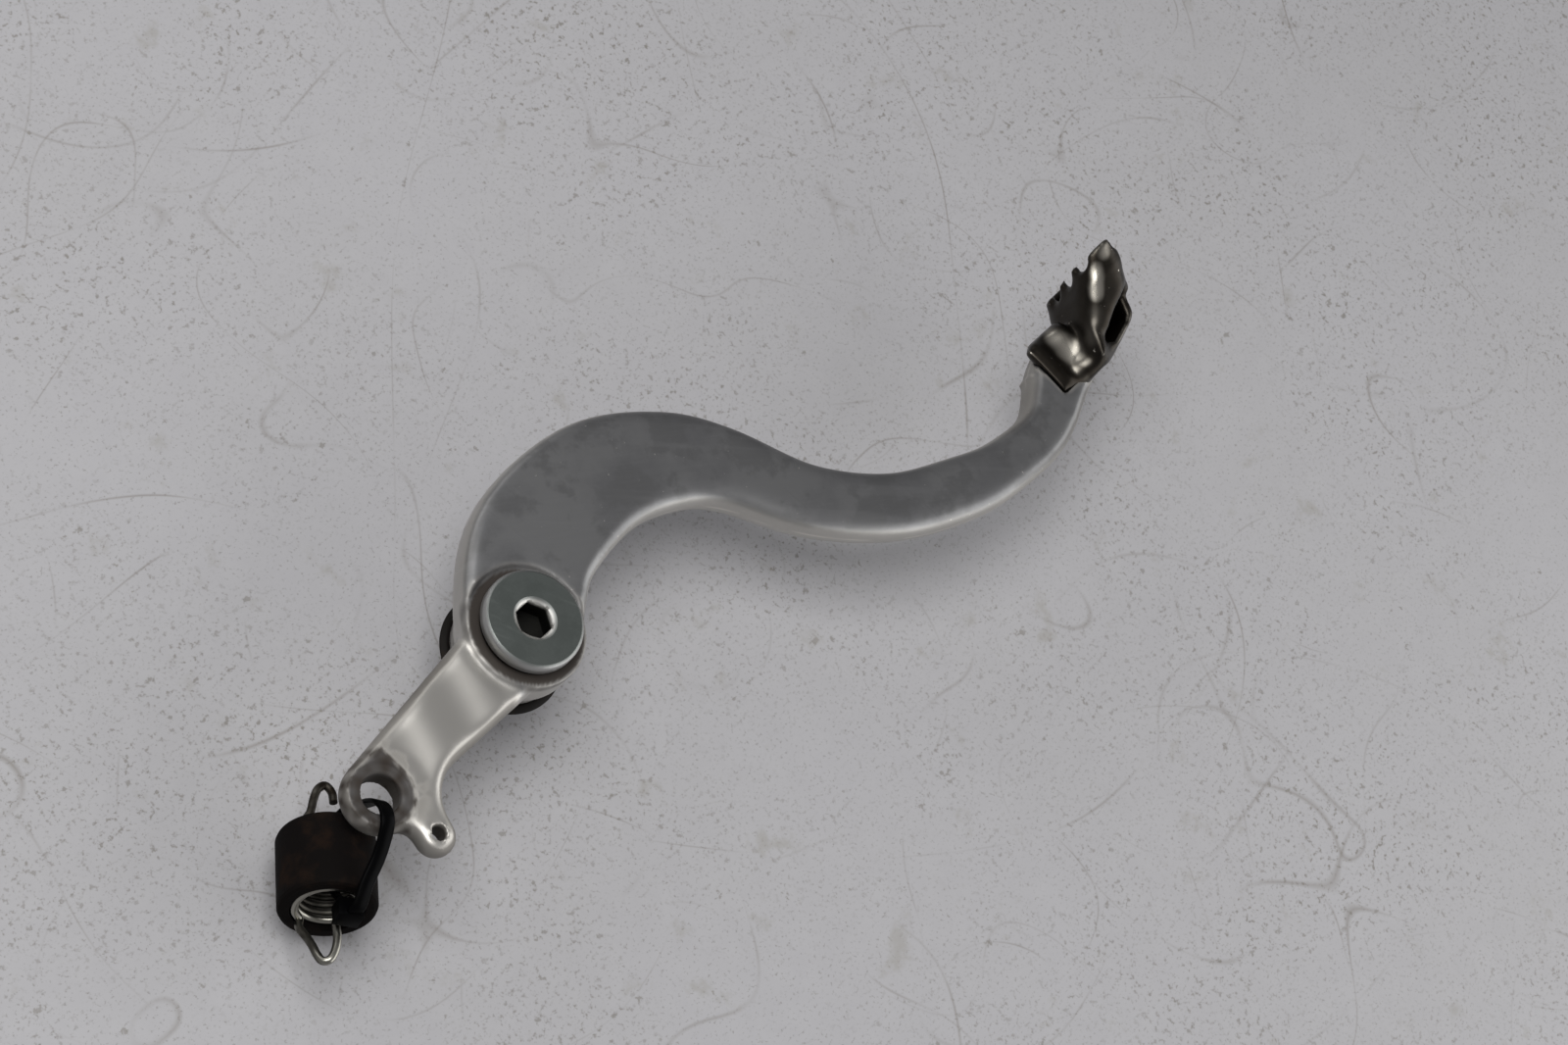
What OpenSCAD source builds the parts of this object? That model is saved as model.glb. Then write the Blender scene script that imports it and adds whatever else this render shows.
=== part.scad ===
// Rear brake pedal of an off-road motorcycle, with its pivot bolt and its return spring tied on.
// Frame: +Z is the pivot axis, pointing outboard. The origin is on that axis, where the bolt's shoulder
// seats on the motorcycle's frame.
// +X runs forward along the pedal to the toe step, +Y is up on the motorcycle.

/* [Pivot boss] */
// Length of the boss, from its inboard face to the machined ring under the bolt's head
boss_h = 13.6; // [11:0.1:18]
// Radius of the boss at its inboard end
boss_r = 13.4; // [12:0.1:15]
// Radius of the machined ring at the outboard end
ring_r = 14.6; // [13.5:0.1:16]
// Radius of the bore that the bushes are pressed into
boss_bore_r = 9; // [8.6:0.1:9.6]

/* [Upper arm] */
// Thickness of the forged arm
arm_t = 9.5; // [8:0.5:11]
// Rounding along the arm's long edges
arm_edge_r = 3; // [1.5:0.25:3.5]
// Rise of the arm's outboard face over the machined ring
arm_rise = 0.9; // [0.4:0.1:1.5]

/* [Rear lever] */
// Distance from the pivot axis to the eye's centre
lever_reach = 55; // [50:0.5:62]
// Drop of the eye's centre below the pivot axis
eye_drop = 5.7; // [4:0.1:8]
// Thickness of the lever
lever_t = 6.5; // [5.5:0.5:8]
// Drop of the lever's outboard face below the machined ring
lever_drop = 1; // [0.5:0.1:2]
// Outer radius of the eye
eye_r = 8.7; // [8.5:0.1:10]
// Radius of the eye's bore
eye_bore_r = 4.6; // [4:0.1:5]
// Radius of the machined seat round the eye's bore
eye_seat_r = 7.4; // [6.5:0.1:7.8]
// Depth of that seat
eye_seat_depth = 0.7; // [0.3:0.1:1.2]
// Radius of the spring ear
ear_r = 4.9; // [4.4:0.1:5.4]
// Radius of the spring hole in the ear
ear_hole_r = 1.8; // [1.4:0.1:2.2]

/* [Toe step] */
// Wall of the cast step
step_wall = 2.6; // [2.2:0.1:3]
// Height of the tooth tips above the bottom of the socket
step_h = 23.5; // [22:0.5:26]
// Width of the step at its tooth tips, along the pivot axis
step_w = 26.5; // [25:0.5:31]
// Length of the step at its tooth tips
step_len = 14.5; // [14:0.5:20]
// Distance between two teeth
tooth_pitch = 7; // [6.5:0.1:7.4]
// Radius of the gullets between the teeth
gullet_r = 2.8; // [2.2:0.1:3]
// Wall of the socket over the arm's end
socket_wall = 1.6; // [1.2:0.1:2.2]

/* [Pivot bolt] */
// Radius of the bolt's head
head_r = 12; // [10.5:0.1:13]
// Thickness of the bolt's head
head_t = 3.4; // [2.6:0.1:4.2]
// Width of the hexagon socket across its flats
hex_af = 8; // [6:1:10]
// Depth of the hexagon socket
hex_depth = 6; // [4:0.5:8]
// Radius of the ground shoulder
shoulder_r = 7.5; // [6.5:0.1:7.8]
// Radius of the threaded end
thread_r = 5; // [4:0.5:6]
// Length of the threaded end
thread_l = 14; // [10:1:20]

/* [Bushes and seals] */
// Length of each bush
bush_l = 5.2; // [4:0.1:5.6]
// Depth of each bush below its end of the boss
bush_inset = 0.6; // [0.3:0.1:1.2]
// Thickness of the seal under the bolt's head
outer_seal_t = 1.2; // [0.8:0.1:1.6]
// Thickness of the seal on the inboard face
inner_seal_t = 1.5; // [1:0.1:2]
// Radius of the inboard seal
inner_seal_r = 13; // [12:0.1:13.3]

/* [Return spring] */
// Outside radius of the coils
coil_r = 8.1; // [7.5:0.1:8.4]
// Radius of the spring wire
wire_r = 0.95; // [0.8:0.05:1]
// Number of coils
coils = 9; // [7:1:9]
// Outside radius of the rubber sleeve
sleeve_r = 10.9; // [10.4:0.1:11.4]
// Length of the rubber sleeve
sleeve_l = 18.5; // [17:0.5:20]

/* [Cable tie] */
// Width of the strap
strap_w = 3.4; // [2.6:0.1:3.6]
// Thickness of the strap
strap_t = 1.1; // [0.9:0.1:1.3]

/* [Hidden] */
$fn = 64;

// Gaps: a running fit, a gap between parts that turn past each other, a gap that shows as a seam
run_gap = 0.05;
turn_gap = 0.3;
seam_gap = 0.05;
eps = 0.5;

// Heights along the pivot axis
boss_low = inner_seal_t + turn_gap;
boss_top = boss_low + boss_h;
arm_top = boss_top + arm_rise;
arm_mid = arm_top - arm_t / 2;
lever_top = boss_top - lever_drop;
lever_low = lever_top - lever_t;
head_low = boss_top + outer_seal_t + turn_gap;
head_top = head_low + head_t;

// Stations along the middle of the upper arm: x, y, width
arm_stations = [
    [-2.5, -2, 28], [5.5, 5.5, 30.5], [19.5, 13.5, 31], [43.5, 15, 29], [62, 7.5, 25], [73, -3, 21.5],
    [85, -22, 18.5], [102.5, -37, 17], [122.5, -45.5, 16.5], [137, -49, 14.5], [154, -49.5, 13.5],
    [168, -43.5, 16], [178, -40.3, 16]
];
arm_turn_steps = 5;
section_steps = 4;

// The machined ring, and the cutter that faces it and bites into the arm
ring_h = 9;
cutter_lift = 0.4;
cutter_r = ring_r + 0.3;

// Lever: eye, ear and the fillets between them
eye = [-lever_reach, -eye_drop];
ear = eye + [3.8, -14.5];
ear_fillet_r = 3;
heel_fillet_r = 11;
lever_edge_r = 2.8;
lever_left = [-7, 9];
lever_right_y = -11.4;

// Step: its own places along the pedal. A corner is x, y, z of the cylinder's middle, and its radius
step_back = 165;
step_low = -48.5;
step_top = step_low + step_h;
step_z = 7.8;
ring_back = 187;
ring_front = ring_back + step_len;
ring_low = [[178, step_low, 7.4, 2], [177, step_low, 16.3, 3.5], [190.5, step_low + 5.5, 19.8, 6.5],
            [193, step_low + 1.5, 8.4, 3]];
ring_high = [[ring_back + 3, step_top - 2, step_z + 3, 3], [ring_back + 7, step_top, step_z + step_w - 7, 7],
             [ring_front - 7, step_top - 6, step_z + step_w - 10, 7], [ring_front - 4, step_top - 2, step_z + 4, 4]];
arch = [[174, -52], [177, -46], [181, -43.2], [187.5, -39.2], [193, -37], [197, -37], [206, -38.5], [206, -52]];
arch_z = 21.3;
socket_low = step_low + 1.9;
socket_top = -32;
socket_front = 181;
socket_skew = 175;
saddle_turn = -31;
saddle_back = 174.6;
saddle_low_r = 3;
saddle_high_r = 7;
first_gullet = 6.3;
gullet_depth = 0.3;
tooth_slope = 0.1;
tongue_y = [socket_low + 1.8, -37];
tongue_z = [arm_mid - 3.2, arm_mid + 3.2];
tongue_start = 162;
tongue_end = socket_front - 3;
pin_x = 172;
pin_r = 2;
pin_low = tongue_z[0] - socket_wall;
pin_l = 6;

// Spring: middle of the sleeve, which hangs beside and below the eye, and the way its axis points
spring_at = [eye[0] - 13.3, eye[1] - 4.5, lever_low - 11.6];
spring_turn = 221;
spring_lift = 13;
coil_mid_r = coil_r - wire_r;
coil_pitch = 2 * wire_r + 0.02;
coil_l = coils * coil_pitch;
wire_sides = 8;
turn_points = 14;

function clamp_index(list, i) = max(0, min(len(list) - 1, i));

// A point of a smooth curve through a list, at part t of the stretch from i to i + 1
function smooth_point(list, i, t) =
    let (a = list[clamp_index(list, i - 1)], b = list[i], c = list[clamp_index(list, i + 1)],
         d = list[clamp_index(list, i + 2)])
    0.5 * (2 * b + (c - a) * t + (2 * a - 5 * b + 4 * c - d) * t * t + (3 * b - a - 3 * c + d) * t * t * t);

function smooth_path(list, steps) = concat(
    [for (i = [0 : len(list) - 2]) for (k = [0 : steps - 1]) smooth_point(list, i, k / steps)],
    [list[len(list) - 1]]);

function unit(v) = v / norm(v);

function arc(centre, r, from, to, steps) =
    [for (k = [0 : steps]) let (a = from + (to - from) * k / steps) centre + r * [cos(a), sin(a)]];

function angle_of(v) = atan2(v[1], v[0]);

// A closed outline without its repeated points
function distinct(list) = [
    for (i = [0 : len(list) - 1])
        if (norm(list[i] - list[(i + len(list) - 1) % len(list)]) > 0.01) list[i]];

// Centre of the circle of radius r that touches circles p and q from outside, on the left of p to q
function touching(p, pr, q, qr, r) =
    let (d = norm(q - p), a = pr + r, b = qr + r, u = unit(q - p), along = (a * a - b * b + d * d) / (2 * d))
    p + u * along + [-u[1], u[0]] * sqrt(a * a - along * along);

// Section of a bar with rounded edges, across and up from its middle
function bar_section(w, t, r, steps) = [
    for (corner = [[1, 1, 0], [-1, 1, 90], [-1, -1, 180], [1, -1, 270]]) for (k = [0 : steps])
        let (a = corner[2] + 90 * k / steps)
        [corner[0] * (w / 2 - r) + r * cos(a), corner[1] * (t / 2 - r) + r * sin(a)]];

// Triangles that join rings of points, with a flat cap at each end
function ring_faces(rings, sides) = concat(
    [for (i = [0 : rings - 2]) for (k = [0 : sides - 1])
        let (a = i * sides + k, b = i * sides + (k + 1) % sides) [a, b + sides, b]],
    [for (i = [0 : rings - 2]) for (k = [0 : sides - 1])
        let (a = i * sides + k, b = i * sides + (k + 1) % sides) [a, a + sides, b + sides]],
    [[for (k = [0 : sides - 1]) k]],
    [[for (k = [sides - 1 : -1 : 0]) (rings - 1) * sides + k]]);

// Plate with the outline's points at its widest and rounded edges all round. It is made a little too thick
// and trimmed, so that each flat side is one face
module rounded_plate(outline, low, high, r, steps) {
    n = len(outline);
    levels = concat(
        [[r, low - eps]],
        [for (k = [0 : steps]) let (a = 90 - 90 * k / steps) [r * (1 - cos(a)), low + r * (1 - sin(a))]],
        [for (k = [0 : steps]) let (a = 90 * k / steps) [r * (1 - cos(a)), high - r * (1 - sin(a))]],
        [[r, high + eps]]);
    points = [for (level = levels) for (i = [0 : n - 1])
        let (ahead = outline[(i + 1) % n] - outline[i], behind = outline[i] - outline[(i + n - 1) % n],
             along = unit(unit(ahead) + unit(behind)), p = outline[i] + level[0] * [-along[1], along[0]])
        [p[0], p[1], level[1]]];
    intersection() {
        polyhedron(points, ring_faces(len(levels), n));
        translate([-2 * lever_reach, -lever_reach, low]) cube([3 * lever_reach, 2 * lever_reach, high - low]);
    }
}

// Wire or strap: a section carried along a path without twisting
function carried(path, start) = [
    for (i = 0, side = unit(start - path[0] * 0 - unit(path[1] - path[0]) * (start * unit(path[1] - path[0])));
         i < len(path);
         i = i + 1,
         along = i < len(path) ? unit(path[min(i + 1, len(path) - 1)] - path[i - 1]) : [0, 0, 1],
         side = i < len(path) ? unit(side - along * (side * along)) : side)
    side];

module swept(path, section, start) {
    sides = len(section);
    frames = carried(path, start);
    last = len(path) - 1;
    points = [for (i = [0 : last])
        let (along = unit(path[min(i + 1, last)] - path[max(i - 1, 0)]), side = frames[i], up = cross(along, side))
        for (p = section) path[i] + p[0] * side + p[1] * up];
    polyhedron(points, ring_faces(last + 1, sides));
}

// The forged upper arm, from the boss to the toe
module upper_arm() {
    path = smooth_path(arm_stations, arm_turn_steps);
    last = len(path) - 1;
    points = [for (i = [0 : last])
        let (ahead = path[min(i + 1, last)], behind = path[max(i - 1, 0)],
             along = unit([ahead[0] - behind[0], ahead[1] - behind[1]]), side = [-along[1], along[0]])
        for (p = bar_section(path[i][2], arm_t, arm_edge_r, section_steps))
            [path[i][0] + p[0] * side[0], path[i][1] + p[0] * side[1], arm_mid + p[1]]];
    sides = 4 * (section_steps + 1);
    polyhedron(points, ring_faces(last + 1, sides));
}

// The outline of the lever, its eye and its ear, anticlockwise
function lever_outline() =
    let (notch = touching(ear, ear_r, eye, eye_r, ear_fillet_r),
         heel_y = lever_right_y - heel_fillet_r,
         heel_dx = sqrt(pow(ear_r + heel_fillet_r, 2) - pow(heel_y - ear[1], 2)),
         heel = [ear[0] + heel_dx, heel_y],
         eye_end = angle_of(notch - eye) + 360,
         ear_start = angle_of(notch - ear),
         ear_end = angle_of(heel - ear) + 360)
    concat(
        [lever_left, lever_left + 0.5 * (eye + eye_r * [cos(96), sin(96)] - lever_left)],
        arc(eye, eye_r, 96, eye_end, 14),
        [for (p = arc(notch, ear_fillet_r, eye_end - 180, ear_start > 0 ? ear_start - 180 : ear_start + 180, 4)) p],
        arc(ear, ear_r, ear_start > 0 ? ear_start : ear_start + 360, ear_end, 10),
        arc(heel, heel_fillet_r, ear_end - 180, 90, 6),
        [[lever_left[0], lever_right_y]]);

module pedal_arm() {
    color("silver")
    difference() {
        union() {
            difference() {
                upper_arm();
                socket_block(socket_low - seam_gap, socket_top + seam_gap, seam_gap);
                step_hood(-seam_gap, seam_gap);
            }
            rounded_plate(distinct(lever_outline()), lever_low, lever_top, lever_edge_r, section_steps);
            translate([0, 0, boss_low]) cylinder(h = boss_h, r = boss_r);
            translate([0, 0, boss_top - ring_h]) cylinder(h = ring_h + cutter_lift, r = ring_r);
            arm_tongue();
        }
        translate([0, 0, boss_top]) cylinder(h = arm_t, r = cutter_r);
        translate([0, 0, boss_low - eps]) cylinder(h = boss_h + 2 * eps, r = boss_bore_r);
        translate([eye[0], eye[1], lever_low - eps]) cylinder(h = lever_t + 2 * eps, r = eye_bore_r);
        translate([eye[0], eye[1], lever_top - eye_seat_depth]) cylinder(h = 2, r = eye_seat_r);
        translate([ear[0], ear[1], lever_low - eps]) cylinder(h = lever_t + 2 * eps, r = ear_hole_r);
        pin_hole();
    }
}

// The end of the arm that the cast step sits on
module arm_tongue() {
    translate([tongue_start, tongue_y[0], tongue_z[0]])
        cube([tongue_end - tongue_start, tongue_y[1] - tongue_y[0], tongue_z[1] - tongue_z[0]]);
}

// The blind hole of the pin, from the inboard side of the socket
module pin_hole() {
    translate([pin_x, (tongue_y[0] + tongue_y[1]) / 2, pin_low - eps]) cylinder(h = pin_l + eps + seam_gap, r = pin_r);
}

// The hood of the step, drawn in by a wall's thickness for its inside
module step_hood(inset, past) {
    hull() {
        for (c = ring_low)
            translate([c[0], c[1] - past, c[2]]) rotate([-90, 0, 0]) cylinder(h = 0.2, r = max(0.8, c[3] - inset), $fn = 32);
        for (c = ring_high)
            translate([c[0], c[1] + past, c[2]]) rotate([90, 0, 0]) cylinder(h = 0.2, r = c[3] - inset, $fn = 32);
    }
}

// The socket round the arm's end. Its outboard side reaches farther back over the arm than its inboard side
module socket_block(low, high, grow) {
    near = tongue_z[1] + socket_wall;
    far = tongue_z[0] - socket_wall;
    translate([0, high, 0]) rotate([90, 0, 0]) linear_extrude(high - low) polygon([
        [socket_front, far - grow], [socket_front, near + grow], [step_back - grow, near + grow],
        [step_back - grow, arm_top - 2], [socket_skew - grow, arm_top - arm_t + 2], [socket_skew - grow, far - grow]]);
}

// The hollow curve that runs from the socket's outboard face up into the hood's rear wall. It follows that
// wall, which leans forward, and it widens towards the top of the socket
module saddle() {
    face_z = tongue_z[1] + socket_wall;
    length = (socket_top - socket_low) / cos(saddle_turn);
    over = 2 * length;
    slope = (saddle_high_r - saddle_low_r) / length;
    start_r = saddle_low_r - slope * length;
    end_r = saddle_low_r + slope * over;
    intersection() {
        translate([saddle_back, socket_low, face_z]) rotate([0, 0, saddle_turn]) difference() {
            translate([-end_r, -length, -1]) cube([end_r + 2, length + over, end_r + 1]);
            hull() {
                translate([-start_r, -length - eps, start_r]) rotate([-90, 0, 0]) cylinder(h = 0.2, r = max(0.2, start_r));
                translate([-end_r, over, end_r]) rotate([-90, 0, 0]) cylinder(h = 0.2, r = end_r);
                translate([-start_r - end_r, -length - eps, start_r]) cube([end_r, length + over + eps, 4 * end_r]);
                translate([-start_r, -length - eps, start_r + end_r]) cube(0.2);
            }
        }
        translate([step_back, socket_low, face_z - 1])
            cube([socket_front - step_back + 6, socket_top - socket_low, saddle_high_r + 1]);
    }
}

// The gullets that leave the teeth standing: through the rear and front walls, and through the two sides.
// The tips fall a little towards the inboard side
module gullets() {
    for (i = [0 : 2]) {
        z = first_gullet + i * tooth_pitch;
        translate([ring_back - 10, step_top + gullet_depth - tooth_slope * (step_w - 7 - z), step_z + z])
            rotate([0, 90, 0]) cylinder(h = step_len + 20, r = gullet_r);
    }
    translate([ring_front - gullet_r, step_top - gullet_depth, step_z - 10])
        cylinder(h = step_w + 20, r = 1.3 * gullet_r);
}

// The arch under the outboard wall, that lets mud out
module mud_arch() {
    translate([0, 0, arch_z]) linear_extrude(step_w) polygon(arch);
}

module toe_step() {
    color("dimgray")
    difference() {
        union() {
            difference() {
                step_hood(0, 0);
                difference() {
                    step_hood(step_wall, eps);
                    socket_block(socket_low, socket_top, 0);
                }
                gullets();
                mud_arch();
            }
            socket_block(socket_low, socket_top, 0);
            saddle();
        }
        translate([step_back - 2 * eps, tongue_y[0] - seam_gap, tongue_z[0] - seam_gap])
            cube([tongue_end - step_back + 2 * eps + seam_gap, tongue_y[1] - tongue_y[0] + 2 * seam_gap,
                  tongue_z[1] - tongue_z[0] + 2 * seam_gap]);
        pin_hole();
    }
}

module step_pin() {
    color("gray")
    translate([pin_x, (tongue_y[0] + tongue_y[1]) / 2, pin_low])
        difference() {
            cylinder(h = pin_l, r = pin_r);
            translate([0, 0, -eps]) cylinder(h = pin_l + 2 * eps, r = pin_r / 2);
        }
}

module pivot_bolt() {
    hex_r = hex_af / 2 / cos(30);
    color("slategray")
    difference() {
        rotate_extrude() polygon([
            [0, -thread_l], [thread_r - 1, -thread_l], [thread_r, 1 - thread_l], [thread_r, 0],
            [shoulder_r - 0.6, 0], [shoulder_r, 0.6],
            [shoulder_r, head_low], [head_r - 0.2, head_low], [head_r, head_low + 0.2],
            [head_r, head_top - 0.8], [head_r - 0.3, head_top - 0.3], [head_r - 0.8, head_top], [0, head_top]]);
        translate([0, 0, head_top - hex_depth]) cylinder(h = hex_depth + eps, r = hex_r, $fn = 6);
        translate([0, 0, head_top - 1]) cylinder(h = 1.02, r1 = hex_af / 2, r2 = hex_r + 0.7);
    }
}

module bush(low) {
    color("goldenrod")
    translate([0, 0, low]) difference() {
        cylinder(h = bush_l, r = boss_bore_r);
        translate([0, 0, -eps]) cylinder(h = bush_l + 2 * eps, r = shoulder_r + run_gap);
    }
}

module outer_bush() { bush(boss_top - bush_inset - bush_l); }

module inner_bush() { bush(boss_low + bush_inset); }

module outer_seal() {
    color("black")
    difference() {
        translate([0, 0, boss_top]) cylinder(h = outer_seal_t, r = head_r - 0.6);
        translate([0, 0, boss_top - eps]) cylinder(h = outer_seal_t + 2 * eps, r = shoulder_r + run_gap);
    }
}

module inner_seal() {
    color("black")
    difference() {
        translate([0, 0, turn_gap]) cylinder(h = inner_seal_t, r = inner_seal_r);
        translate([0, 0, turn_gap - eps]) cylinder(h = inner_seal_t + 2 * eps, r = shoulder_r + run_gap);
    }
}

// Puts what is drawn along +Z on the spring's axis, which lies beside the eye
module on_spring() {
    translate(spring_at) rotate([0, 0, spring_turn]) rotate([0, 90 - spring_lift, 0]) children();
}

// The wire: a hook, the close coils, and the other hook
back_hook = [[-3, 1, 8.2], [-3, 0.7, 10.8], [-3, -0.8, 12.4], [-3, -2.6, 11], [-2.8, -3.6, 8], [-2.6, -4.4, 4.6],
             [-1.4, -6.2, 2]];
front_hook = [[5.4, -4.6, 2.4], [4.4, -3.2, 5.4], [3.4, -2.4, 8], [2.6, -1.8, 10.4], [2, -0.8, 12.2], [1.2, 0.7, 12],
              [0.8, 1.8, 9.6], [0.6, 2.2, 6.4], [0.4, 1.8, 3]];

function spring_path() =
    let (r = coil_mid_r, half = coil_l / 2, points = coils * turn_points + 2)
    concat(
        smooth_path([for (p = back_hook) [p[0], p[1], -half - p[2]]], 2),
        [for (k = [0 : points]) let (a = -90 + 360 * k / turn_points)
            [r * cos(a), r * sin(a), -half + coil_l * k / points]],
        smooth_path([for (p = front_hook) [p[0], p[1], half + p[2]]], 2));

module return_spring() {
    color("lightgray")
    on_spring() swept(spring_path(), [for (k = [0 : wire_sides - 1]) let (a = 360 * k / wire_sides) wire_r * [cos(a), sin(a)]],
                      [0, 1, 0]);
}

module spring_sleeve() {
    color("black")
    on_spring() translate([0, 0, -sleeve_l / 2])
        rotate_extrude() polygon([
            [coil_r + seam_gap, 0], [sleeve_r - 1, 0], [sleeve_r - 0.3, 0.3], [sleeve_r, 1],
            [sleeve_r, sleeve_l - 1], [sleeve_r - 0.3, sleeve_l - 0.3], [sleeve_r - 1, sleeve_l],
            [coil_r + seam_gap, sleeve_l]]);
}

// The strap's loop: from its head up and back outside the sleeve, over the eye's rim, down through the eye,
// and back to the head along the inside of the spring. The route is measured from the eye
tie_head = [-4.5, 2.8, 12];
tie_head_size = [4.6, 5.6, 4.4];
tie_route = [[-19.5, -13.6, -4.5], [-19.8, -14.5, -2.1], [-18.4, -14.1, -0.1], [-14.9, -11.9, 1.7], [-10.2, -9.8, 3.6],
             [-6.8, -7.5, 5.9], [-4.6, -5.5, 7.5], [-2.6, -3.2, 7.2], [-1.2, -1.2, 4.9], [-0.4, 0.1, 1.4],
             [0.1, 1, -2.6], [-0.4, 2.3, -6.6], [-2, 2.7, -9.9], [-4.7, 2, -12.5], [-7.8, 0.1, -13.1],
             [-13.3, -4.5, -11.6], [-16.7, -8.8, -8.3], [-18.4, -11.9, -5.8], [-19.4, -13.3, -4.7]];
tie_points = [for (p = tie_route) [eye[0] + p[0], eye[1] + p[1], lever_low + p[2]]];

module cable_tie() {
    color("black") {
        swept(smooth_path(tie_points, 3), bar_section(strap_t, strap_w, 0.3, 1), [-0.73, -0.64, 0.1]);
        on_spring() translate(tie_head) cube(tie_head_size, center = true);
    }
}

pedal_arm();
toe_step();
step_pin();
pivot_bolt();
outer_bush();
inner_bush();
outer_seal();
inner_seal();
return_spring();
spring_sleeve();
cable_tie();
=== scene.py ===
# %% [markdown]
# # Rear brake pedal
# A worn rear brake pedal lies on a scratched pale floor: a forged arm with a toothed step at one end and
# an eye at the other, the greased bolt that it turns on, and a return spring in a rubber sleeve, tied on
# with a cable tie. CAD gives every solid its size and place. This notebook gives them their finish, and
# remakes the pieces whose look CAD can't give: the forging's blends, the round wire, the moulded strap
# and the thread.

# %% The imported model
import math

import bmesh
import bpy
import numpy as np
from mathutils import Matrix, Vector, noise


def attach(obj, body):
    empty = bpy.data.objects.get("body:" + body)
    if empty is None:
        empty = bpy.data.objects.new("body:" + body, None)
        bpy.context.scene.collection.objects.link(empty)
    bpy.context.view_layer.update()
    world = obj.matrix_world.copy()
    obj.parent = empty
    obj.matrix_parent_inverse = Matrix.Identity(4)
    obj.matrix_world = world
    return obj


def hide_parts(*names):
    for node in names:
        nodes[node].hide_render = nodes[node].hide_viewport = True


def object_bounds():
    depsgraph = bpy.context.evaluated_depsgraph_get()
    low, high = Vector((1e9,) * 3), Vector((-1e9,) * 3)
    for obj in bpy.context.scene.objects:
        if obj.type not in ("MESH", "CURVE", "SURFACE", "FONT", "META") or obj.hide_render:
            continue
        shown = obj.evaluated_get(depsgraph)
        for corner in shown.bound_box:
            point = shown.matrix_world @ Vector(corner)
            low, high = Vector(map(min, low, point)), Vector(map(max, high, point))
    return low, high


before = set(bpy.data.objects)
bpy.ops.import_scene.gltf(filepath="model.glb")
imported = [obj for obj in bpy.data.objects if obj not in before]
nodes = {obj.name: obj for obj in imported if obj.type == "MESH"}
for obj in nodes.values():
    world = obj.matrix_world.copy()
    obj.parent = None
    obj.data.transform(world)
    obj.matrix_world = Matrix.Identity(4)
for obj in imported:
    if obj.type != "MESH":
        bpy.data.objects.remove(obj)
cad_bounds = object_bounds()
MM = 0.001


# %% [markdown]
# ## Camera
# The photograph looks along the pedal from its rear end, from about 52 degrees above the floor, and the
# camera is rolled so that the pivot axis runs up and to the right. The three directions below are the
# camera's own right, up and back, in the pedal's frame.

# %% Camera
CAMERA_AT = (-432.1, -22.0, 673.2)
CAMERA_RIGHT = (0.5803, -0.6820, 0.4453)
CAMERA_UP = (0.5411, 0.7314, 0.4152)
CAMERA_BACK = (-0.6088, 0.0, 0.7934)
LENS_MM = 81.0
SENSOR_MM = 36.0
NEAREST = 0.01

camera_data = bpy.data.cameras.new("camera")
camera_data.lens = LENS_MM
camera_data.sensor_width = SENSOR_MM
camera_data.clip_start = NEAREST
camera = bpy.data.objects.new("camera", camera_data)
turn = Matrix((CAMERA_RIGHT, CAMERA_UP, CAMERA_BACK)).transposed().to_4x4()
camera.matrix_world = Matrix.Translation(Vector(CAMERA_AT) * MM) @ turn
bpy.context.scene.collection.objects.link(camera)
bpy.context.scene.camera = camera
bpy.context.scene.view_settings.view_transform = "Standard"
print("camera at", CAMERA_AT, "mm, lens", LENS_MM, "mm")


# %% [markdown]
# ## Helpers for materials
# A shader is a small graph. These helpers keep each material short: one makes a node with its values, one
# joins two sockets, and one starts a material with its Principled shader.

# %% Helpers for materials
FLOAT = "NodeSocketFloat"


def node_in(tree, kind, values=(), **settings):
    made = tree.nodes.new(kind)
    for key, value in settings.items():
        setattr(made, key, value)
    for key, value in dict(values).items():
        made.inputs[key].default_value = value
    return made


def join(tree, source, target):
    tree.links.new(source, target)


def feed(tree, socket, value):
    """Joins a socket to its source, or gives it a fixed value. A fixed colour has three numbers."""
    if isinstance(value, bpy.types.NodeSocket):
        join(tree, value, socket)
    else:
        socket.default_value = (*value, 1) if socket.type == "RGBA" else value


def start_material(name, color, roughness, metallic=0.0):
    made = bpy.data.materials.new(name)
    made.use_nodes = True
    shader = made.node_tree.nodes["Principled BSDF"]
    shader.inputs["Base Color"].default_value = (*color, 1)
    shader.inputs["Roughness"].default_value = roughness
    shader.inputs["Metallic"].default_value = metallic
    return made, made.node_tree, shader


def mix_colors(tree, mask, first, second):
    made = node_in(tree, "ShaderNodeMix", data_type="RGBA")
    join(tree, mask, made.inputs["Factor"])
    feed(tree, made.inputs[6], first)
    feed(tree, made.inputs[7], second)
    return made.outputs[2]


def mix_values(tree, mask, first, second):
    made = node_in(tree, "ShaderNodeMix", data_type="FLOAT")
    join(tree, mask, made.inputs["Factor"])
    feed(tree, made.inputs[2], first)
    feed(tree, made.inputs[3], second)
    return made.outputs[0]


def calculate(tree, operation, first, second=0.0):
    made = node_in(tree, "ShaderNodeMath", operation=operation)
    feed(tree, made.inputs[0], first)
    feed(tree, made.inputs[1], second)
    return made.outputs[0]


def scaled(tree, value, amount):
    return calculate(tree, "MULTIPLY", value, amount)


def ramp(tree, value, low, high, falling=False, shape="SMOOTHSTEP"):
    """From 0 at low to 1 at high, or from 1 to 0 if it is falling."""
    made = node_in(tree, "ShaderNodeMapRange", interpolation_type=shape)
    feed(tree, made.inputs["Value"], value)
    feed(tree, made.inputs["From Min"], low)
    feed(tree, made.inputs["From Max"], high)
    if falling:
        made.inputs["To Min"].default_value = 1.0
        made.inputs["To Max"].default_value = 0.0
    return made.outputs[0]


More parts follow.
